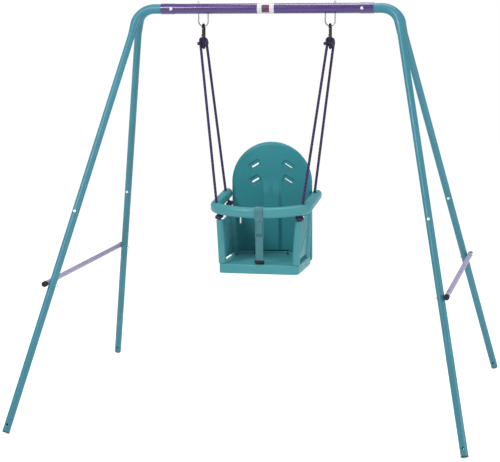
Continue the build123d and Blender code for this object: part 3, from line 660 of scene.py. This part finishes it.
def ring_hole(side, end):
    """Middle and way of a rope hole, which follows the rope's turn inside the ring."""
    top, hole, head, _ = rope_stations(side, end)
    above = (top - hole).normalized()
    below = (head - hole).normalized()
    inside = HOLE_TURN * (head - hole).length / 2
    return hole + (above + below) * inside, (below - above).normalized()


def add_rope(place, side, end, material):
    """One declared rope leg, from its knot at the hook to its knot under the tray."""
    line = spline_points(rope_route(side, end))
    mesh, path = braided_mesh(f"rope_{place}_braid", line, ROPE_R)
    piece = add_object(f"rope_{place}_braid", mesh, material, "swing", (f"rope_{place}",))


def hitch_routes(side):
    """The two rope ends that pass through a hook and lie against each other, and the tail."""
    def point(x, y, z):
        return Vector((side * HANGER_X + x, y, z))
    front_top = rope_stations(side, -1)[0]
    rear_top = rope_stations(side, 1)[0]
    first = [front_top,
             point(-0.0145, -0.0055, 1.626), point(-0.0150, -0.004, 1.638), point(-0.0135, -0.001, 1.6455),
             point(-0.004, 0.0, 1.6450), point(0.007, -0.001, 1.6455), point(0.0155, -0.004, 1.6405),
             point(0.0165, -0.008, 1.630), point(0.0150, -0.009, 1.619), point(0.011, -0.004, 1.6135),
             point(0.0, 0.0, 1.6165), point(-0.009, 0.006, 1.6185), point(-0.0150, 0.010, 1.6240),
             point(-0.0190, 0.004, 1.6245), point(-0.0265, -0.003, 1.6225)]
    second = [rear_top,
              point(0.0145, 0.0065, 1.622), point(0.0150, 0.0065, 1.630), point(0.0130, 0.003, 1.6355),
              point(0.0, 0.001, 1.6325), point(-0.0110, 0.005, 1.6345), point(-0.0150, 0.0105, 1.641),
              point(-0.0130, 0.0125, 1.6470), point(-0.006, 0.0045, 1.6465), point(0.006, -0.004, 1.640),
              point(0.0095, -0.010, 1.630), point(0.009, -0.010, 1.620), point(0.003, -0.001, 1.618)]
    return first, second


def add_hitch(side_name, side, material):
    """The knot wrapped round a hook, with the sealed end of the rope swollen where it was melted."""
    routes = hitch_routes(side)
    meshes = [braided_mesh("hitch", spline_points(route, 12), ROPE_R, KNOT_STEP)[0] for route in routes]
    sealed = [routes[0][-2], routes[0][-2].lerp(routes[0][-1], 0.5), routes[0][-1]]
    meshes.append(braided_mesh("sealed_end", spline_points(sealed, 6), ROPE_R * 1.25, KNOT_STEP)[0])
    name = f"hook_hitch_{side_name}"
    add_object(name, joined(name, meshes), material, "swing", (f"rope_knot_{side_name}",))


def coil_route(middle, axis, radius, turns, rise, lean):
    """A knot's route: wound round a rope, leaning a little, with both ends tucked in."""
    helper = Vector((1, 0, 0)) if abs(axis.x) < 0.9 else Vector((0, 1, 0))
    across = axis.cross(helper).normalized()
    third = axis.cross(across)
    steps = int(turns * 12)
    route = []
    for step in range(steps + 1):
        share = step / steps
        angle = 2 * pi * turns * share
        tuck = min(1.0, 8.0 * share, 8.0 * (1.0 - share))
        reach = radius * (0.45 + 0.55 * tuck)
        height = (share - 0.5) * rise + lean * cos(angle) * tuck
        route.append(middle + across * reach * cos(angle) + third * reach * sin(angle) + axis * height)
    return route


def add_ring_knot(place, side, end, material):
    """A wide, flat stopper between the guard ring and a pillar: wound turns and a turn across them."""
    _, hole, head, _ = rope_stations(side, end)
    way = (head - hole).normalized()
    middle = hole + way * RING_KNOT_DROP
    leaning = (way + Vector((0.10 * side, 0.42, 0.0))).normalized()
    turns = [coil_route(middle + way * 0.0005, way, 0.0142, 1.9, 0.0070, 0.0010),
             coil_route(middle, leaning, 0.0118, 1.6, 0.0050, 0.0008)]
    meshes = [braided_mesh("turns", spline_points(route, 6), ROPE_R, KNOT_STEP)[0] for route in turns]
    name = f"ring_stopper_{place}"
    add_object(name, joined(name, meshes), material, "swing", (f"ring_knot_{place}",))


def add_base_knots(material):
    """The small tight stoppers inside the tray."""
    meshes = []
    for _, side, end in PLACES:
        _, _, head, low = rope_stations(side, end)
        way = (low - head).normalized()
        route = coil_route(low - way * 0.001, way, 0.0058, 2.1, 0.0088, 0.0005)
        meshes.append(braided_mesh("stopper", spline_points(route, 6), BASE_KNOT_R, KNOT_STEP)[0])
    name = "tray_stoppers"
    add_object(name, joined(name, meshes), material, "swing", ("base_knots",))


# ---------------------------------------------------------------- seat back
def arch_outline(inset):
    """The back's outline, moved inwards: straight sides, half-round top, round lower corners."""
    half = BACK_HALF - inset
    base = BACK_BOTTOM + inset
    round_r = max(BACK_CORNER_R - inset, 0.0005)
    points = []
    for share in np.linspace(-1, 1, 90, endpoint=False):
        points.append((share * (half - round_r), base))
    for angle in np.linspace(-pi / 2, 0, 8, endpoint=False):
        points.append((half - round_r + round_r * cos(angle), base + round_r + round_r * sin(angle)))
    for share in np.linspace(0, 1, 110, endpoint=False):
        points.append((half, base + round_r + share * (BACK_ARCH_Z - base - round_r)))
    for angle in np.linspace(0, pi, 200, endpoint=False):
        points.append((half * cos(angle), BACK_ARCH_Z + half * sin(angle)))
    for share in np.linspace(1, 0, 110, endpoint=False):
        points.append((-half, base + round_r + share * (BACK_ARCH_Z - base - round_r)))
    for angle in np.linspace(pi, 3 * pi / 2, 8, endpoint=False):
        points.append((-half + round_r + round_r * cos(angle), base + round_r + round_r * sin(angle)))
    return np.array(points)


def rounded_distance(across, up, width, height, radius):
    """Signed distance to a rounded rectangle about the origin; negative inside it."""
    out_x = np.abs(across) - width / 2 + radius
    out_y = np.abs(up) - height / 2 + radius
    outside = np.hypot(np.maximum(out_x, 0), np.maximum(out_y, 0))
    return outside + np.minimum(np.maximum(out_x, out_y), 0) - radius


def back_relief(x, z):
    """How far the front of the back stands out: a soft spine, and sunk frames round the vents."""
    spine = SPINE_HEIGHT * (1 - smoothstep(SPINE_FLAT_X, SPINE_FOOT_X, np.abs(x)))
    relief = spine * (1 - smoothstep(0.93, 1.02, z))
    notch = rounded_distance(x, z - TAB_TOP_Z, 2 * TAB_HALF + 0.010, NOTCH_HEIGHT, 0.001)
    relief = relief - NOTCH_DEPTH * smoothstep(0.0, 0.0012, -notch)
    for _, side in SIDES:
        for vent_z in VENT_ZS:
            across = (x - side * VENT_X) * cos(VENT_TILT) - (z - vent_z) * side * sin(VENT_TILT)
            up = (x - side * VENT_X) * side * sin(VENT_TILT) + (z - vent_z) * cos(VENT_TILT)
            edge = rounded_distance(across, up, *VENT_FRAME)
            relief = relief - VENT_FRAME_DEPTH * smoothstep(0.0, 0.0028, -edge)
            relief = relief + 0.0007 * np.exp(-((edge - 0.0022) / 0.0016) ** 2)
    return relief


def add_seat_back(material):
    """The high back as one moulded shell, with its vents and belt slots cut through.

    Its surface is a row of outlines, each one moved further in: from the middle of the rear out to
    the rim, round the rim, and back in over the front.
    """
    front_y = TRAY_REAR
    rear_y = TRAY_REAR + BACK_DEPTH
    rows = []
    for inset in (BACK_CORE, 0.12, 0.06, 0.03, 0.014):
        rows.append((inset, rear_y, False))
    for angle in np.linspace(0, pi / 2, 7):
        inset = BACK_REAR_ROUND * (1 - sin(angle))
        rows.append((inset, rear_y - BACK_REAR_ROUND * (1 - cos(angle)), False))
    for angle in np.linspace(0, pi / 2, 9):
        inset = BACK_FRONT_ROUND * (1 - cos(angle))
        rows.append((inset, front_y + BACK_FRONT_ROUND * (1 - sin(angle)), False))
    for inset in np.concatenate([np.linspace(0.0125, 0.045, 17), np.linspace(0.047, BACK_CORE, 66)]):
        rows.append((inset, front_y, True))
    points = []
    for inset, y, is_front in rows:
        outline = arch_outline(inset)
        depth = np.full(len(outline), y)
        if is_front:
            lip = 0.0012 * smoothstep(0.010, 0.014, inset) * (1 - smoothstep(0.014, 0.022, inset))
            depth = depth - back_relief(outline[:, 0], outline[:, 1]) - lip
        points.append(np.stack([outline[:, 0], depth, outline[:, 1]], axis=1))
    count = len(points[0])
    mesh = outward_mesh("moulded_back", np.concatenate(points), loop_faces(len(points), count))
    piece = add_object("moulded_back", mesh, material, "swing", ("seat_back",))
    cutters = []
    cut_from = TRAY_REAR - 0.02
    through = Vector((0, 0.06, 0))
    for _, side in SIDES:
        along = Vector((cos(VENT_TILT), 0, -side * sin(VENT_TILT)))
        upward = Vector((side * sin(VENT_TILT), 0, cos(VENT_TILT)))
        for vent_z in VENT_ZS:
            origin = Vector((side * VENT_X, cut_from, vent_z))
            outline = rounded_outline(VENT_LENGTH, VENT_WIDTH, VENT_WIDTH / 2 - 0.00005)
            cutters.append(prism("vent", outline, origin, along, upward, through))
        origin = Vector((side * BELT_X, cut_from, BELT_Z))
        outline = rounded_outline(BELT_WIDTH, BELT_LENGTH, BELT_WIDTH / 3)
        cutters.append(prism("belt", outline, origin, Vector((1, 0, 0)), Vector((0, 0, 1)), through))
    cut_away(piece, cutters)


# ---------------------------------------------------------------- guard ring
def arc_points(centre, radius, start, finish, count):
    """Points along an arc, with both ends."""
    return [(centre[0] + radius * cos(angle), centre[1] + radius * sin(angle))
            for angle in np.linspace(start, finish, count)]


def ring_line():
    """The guard ring's axis in its own tilted plane, from the left arm's end to the right arm's."""
    corner_x = RING_ARM_X - RING_CORNER_R
    apart = RING_BULGE_R - RING_CORNER_R
    corner_y = RING_BULGE_R - sqrt(apart ** 2 - corner_x ** 2)
    turn = np.arctan2(corner_y - RING_BULGE_R, corner_x)
    arm_y = (RING_ARM_END - RING_FRONT) * hypot(1.0, RING_RISE)
    left = [(-RING_ARM_X, y) for y in np.linspace(arm_y, corner_y, 60, endpoint=False)]
    left += arc_points((-corner_x, corner_y), RING_CORNER_R, pi, 2 * pi - (turn + pi), 40)[:-1]
    bulge = arc_points((0, RING_BULGE_R), RING_BULGE_R, -pi - turn, turn, 60)
    right = [(-x, y) for x, y in reversed(left)]
    return np.array(left + bulge[:-1] + right)


def add_guard_ring(material):
    """The hollow guard ring: a rounded section with a fine parting line, and closed round ends."""
    flat = ring_line()
    outline = np.array(rounded_outline(RING_WIDTH, RING_HEIGHT, RING_SECTION_R, 12))
    spread = np.hypot(outline[:, 0], outline[:, 1])
    seam = 0.0005 * np.exp(-(outline[:, 1] / 0.0012) ** 2)
    outline = outline * ((spread + seam) / spread)[:, None]
    ways = np.gradient(flat, axis=0)
    ways /= np.linalg.norm(ways, axis=1)[:, None]
    sides = np.stack([ways[:, 1], -ways[:, 0]], axis=1)
    steps = 7
    cap_angles = [pi / 2 * step / steps for step in range(steps)]
    stations = [(RING_END_ROUND * (1 - cos(angle)), RING_END_ROUND * (1 - sin(angle)))
                for angle in cap_angles]
    tilt = Vector((0, 1, RING_RISE)).normalized()
    up = Vector((0, -RING_RISE, 1)).normalized()
    origin = Vector((0, RING_FRONT, RING_FRONT_Z))

    def section(centre, side_way, inset):
        shrink = 1 - inset / (RING_WIDTH / 2)
        base = origin + Vector((centre[0], 0, 0)) + tilt * centre[1]
        across = Vector((side_way[0], 0, 0)) + tilt * side_way[1]
        return [base + across * (x * shrink) + up * (z * shrink) for x, z in outline]

    rings = []
    for advance, inset in stations:
        rings.append(section(flat[0] + ways[0] * advance, sides[0], inset))
    for index in range(len(flat)):
        reach = np.linalg.norm(flat[index] - flat[0])
        reach_end = np.linalg.norm(flat[index] - flat[-1])
        if min(reach, reach_end) > RING_END_ROUND:
            rings.append(section(flat[index], sides[index], 0.0))
    for advance, inset in reversed(stations):
        rings.append(section(flat[-1] - ways[-1] * advance, sides[-1], inset))
    points = [point for ring in rings for point in ring]
    mesh = outward_mesh("moulded_ring", points, loop_faces(len(rings), len(outline)))
    piece = add_object("moulded_ring", mesh, material, "swing", ("guard_ring",))
    cutters = []
    for _, side, end in PLACES:
        cutters.append(flared_pin(*ring_hole(side, end)))
    cut_away(piece, cutters)


def flared_pin(middle, way):
    """A cutter for a rope hole, wider where it leaves the ring above and below."""
    half = 0.045
    mouth = 0.0238
    mouth_r = 0.0115
    flare_r = 0.018
    helper = Vector((0, 1, 0)) if abs(way.y) < 0.9 else Vector((1, 0, 0))
    across = way.cross(helper).normalized()
    third = way.cross(across)
    profile = [(-half, flare_r), (-mouth - 0.001, mouth_r), (-mouth + 0.003, RING_HOLE_R),
               (mouth - 0.003, RING_HOLE_R), (mouth + 0.001, mouth_r), (half, flare_r)]
    count = 32
    points = []
    for place, radius in profile:
        for step in range(count):
            angle = 2 * pi * step / count
            points.append(middle + way * place + across * radius * cos(angle) + third * radius * sin(angle))
    mesh = outward_mesh("rope_hole", points, loop_faces(len(profile), count))
    return bpy.data.objects.new("rope_hole", mesh)


# ---------------------------------------------------------------- crotch strap
def strap_line():
    """Both ends of the strap's straight run: in the tray, and under the guard ring."""
    low = Vector((STRAP_LOW_X, STRAP_SLOT_Y, TRAY_TOP - STRAP_DEPTH))
    high = Vector((STRAP_HIGH_X, RING_FRONT + 0.0013, RING_FRONT_Z - RING_HEIGHT / 2 - 0.0015))
    return low, high


def ribbon(name, route, width_of, thickness):
    """Webbing that follows a route in the YZ plane; `width_of` gives its width along the run."""
    columns = 20
    points, along = resampled(np.array([point[:] for point in route]), 0.0012)
    ways = np.gradient(points, axis=0)
    ways /= np.linalg.norm(ways, axis=1)[:, None]
    normals = np.stack([np.zeros(len(ways)), -ways[:, 2], ways[:, 1]], axis=1)
    skin = []
    marks_along = []
    marks_across = []
    for index, point in enumerate(points):
        half = width_of(along[index]) / 2
        lane = [-1 + 2 * column / columns for column in range(columns + 1)]
        ring = [(share, 1) for share in lane] + [(share, -1) for share in reversed(lane)]
        for share, face in ring:
            x = half * share
            edge = min(1.0, (half - abs(x)) / 0.0015)
            lift = thickness / 2 * (0.35 + 0.65 * sqrt(max(edge, 0.0)))
            ripple = 0.00012 * sin(pi * x / 0.0022)
            skin.append(point + np.array([x, 0, 0]) + normals[index] * face * (lift + ripple))
            marks_along.append(along[index])
            marks_across.append(x)
    mesh = mesh_of(name, skin, loop_faces(len(points), 2 * (columns + 1)))
    for label, values in (("along", marks_along), ("across", marks_across)):
        layer = mesh.attributes.new(label, "FLOAT", "POINT")
        layer.data.foreach_set("value", values)
    return mesh


def stitch(centre, way, length):
    """One thread stitch: a small arched rod lying on the webbing."""
    rings = 7
    count = 8
    radius = 0.0007
    lift = Vector((0, -1, 0))
    points = []
    for step in range(rings):
        share = step / (rings - 1) - 0.5
        place = centre + way * (length * share) + lift * (0.0006 * cos(pi * share))
        size = radius * (0.45 if step in (0, rings - 1) else 1.0)
        across = way.cross(lift).normalized()
        for turn in range(count):
            angle = 2 * pi * turn / count
            points.append(place + across * size * cos(angle) + lift * size * sin(angle))
    return mesh_of("stitch", points, loop_faces(rings, count))


def add_crotch_strap(material, thread):
    """The strap: a loop round the guard ring, sewn to itself, and its run to the tray."""
    tilt = np.arctan(RING_RISE)
    gap = 0.0022
    outline = rounded_outline(RING_WIDTH + 2 * gap, RING_HEIGHT + 2 * gap, RING_SECTION_R + gap, 10)
    centre = Vector((STRAP_HIGH_X, RING_FRONT + STRAP_HIGH_X ** 2 / (2 * RING_BULGE_R), RING_FRONT_Z))
    turned = [(y * cos(tilt) - z * sin(tilt), y * sin(tilt) + z * cos(tilt)) for y, z in outline]
    lowest = min(range(len(turned)), key=lambda index: turned[index][1])
    turned = turned[lowest:] + turned[:lowest]
    low, high = strap_line()
    way = (low - high).normalized()
    seam = high + way * SEAM_FROM_TOP
    front_shift = Vector((0, -STRAP_LAYER, 0))
    rear_shift = Vector((0, STRAP_LAYER, 0))
    loop = [centre + Vector((0, y, z)) for y, z in turned]
    rear_start = min(range(len(loop)), key=lambda index: (loop[index] - high - rear_shift).length)
    start = [seam + rear_shift, high + way * 0.010 + rear_shift]
    finish = [high + way * 0.010 + front_shift, low + front_shift]
    full = loop[rear_start:] + loop[:rear_start]
    if full[len(full) // 4].y < centre.y:
        full.reverse()
    route = start + full[2:-2] + finish

    def width_of(along):
        return STRAP_WIDTH - 0.0035 * smoothstep(0.30, 0.34, along)

    mesh = ribbon("strap_webbing", route, width_of, 0.0020)
    add_object("strap_webbing", mesh, material, "swing", ("crotch_strap",))
    stitches = []
    count = int(STRAP_WIDTH * 0.86 / STITCH_PITCH)
    across = Vector((1, 0, 0))
    out = Vector((0, -0.0023, 0))
    for row in (-0.010, -0.005, 0.0):
        base = seam + way * (row - 0.004) + out
        for index in range(count):
            x = (index - (count - 1) / 2) * STITCH_PITCH
            stitches.append(stitch(base + across * x, across, STITCH_LENGTH))
    for side in (-1, 1):
        for index in range(14):
            base = seam + way * (-0.012 - index * STITCH_PITCH) + out + across * side * STRAP_WIDTH * 0.40
            stitches.append(stitch(base, way, STITCH_LENGTH))
    add_object("strap_stitches", joined("strap_stitches", stitches), thread, "swing", ())


# ---------------------------------------------------------------- the whole object
def finish_cad_nodes():
    """Materials for the CAD nodes whose own shape shows."""
    finishes = {
        "top_bar": powder_coat("bar_purple", linear(58, 36, 100), 0.26, 0.70),
        "upper_leg": powder_coat("leg_teal", linear(47, 114, 130)),
        "brace": powder_coat("brace_lilac", linear(148, 138, 170)),
        "brace_cap": moulded_plastic("cap_plastic", linear(25, 25, 28), 0.45, 2000.0),
        "zinc": bright_zinc("bright_zinc", 226, 0.60),
        "hanger": bright_zinc("dull_zinc", 158, 1.0),
        "snap_hook": black_coat("hook_black"),
        "anchor": black_coat("anchor_black", 0.8),
        "bar_label": printed_band(),
    }
    finishes["lower_leg"] = finishes["upper_leg"]
    finishes["foot_plug"] = finishes["brace_cap"]
    finishes["hook_gate"] = finishes["snap_hook"]
    families = ("brace_cap", "upper_leg", "lower_leg", "foot_plug", "snap_hook", "hook_gate")
    exact = {"top_bar": "top_bar", "bar_label": "bar_label", "strap_anchor": "anchor",
             "brace_left": "brace", "brace_right": "brace",
             "hanger_left": "hanger", "hanger_right": "hanger"}
    for name, node in nodes.items():
        family = next((start for start in families if name.startswith(start)), exact.get(name, "zinc"))
        node.data.materials.clear()
        node.data.materials.append(finishes[family])


def build_seat():
    """The back, the ring, the tray, the side panels and the strap with its buckle."""
    seat = moulded_plastic("seat_teal", linear(61, 131, 138))
    # Painted shade: the back's plastic is the seat's teal made darker, because the back stands in more
    # shade than the tray's front.
    add_seat_back(moulded_plastic("back_teal_painted_shade", linear(34, 118, 127)))
    add_guard_ring(seat)
    moulded_copy("moulded_tray", "seat_tray", 0.0014, 3, seat, "swing")
    for side_name, _ in SIDES:
        name = f"moulded_panel_{side_name}"
        moulded_copy(name, f"side_panel_{side_name}", 0.0012, 5, seat, "swing")
    strap = webbing("strap_teal", linear(57, 110, 120))
    thread = moulded_plastic("sewing_thread", linear(16, 50, 58), 0.6, 3000.0)
    add_crotch_strap(strap, thread)
    buckle = moulded_plastic("buckle_black", linear(22, 24, 26), 0.42, 2200.0)
    moulded_copy("moulded_buckle", "strap_buckle", 0.0005, 4, buckle, "swing")


def build_ropes():
    """The four rope legs and every knot."""
    fibre = rope_fibre()
    for place, side, end in PLACES:
        add_rope(place, side, end, fibre)
        add_ring_knot(place, side, end, fibre)
    for side_name, side in SIDES:
        add_hitch(side_name, side, fibre)
    add_base_knots(fibre)


make_camera()
make_studio()
make_floor()
finish_cad_nodes()
build_ropes()
build_seat()
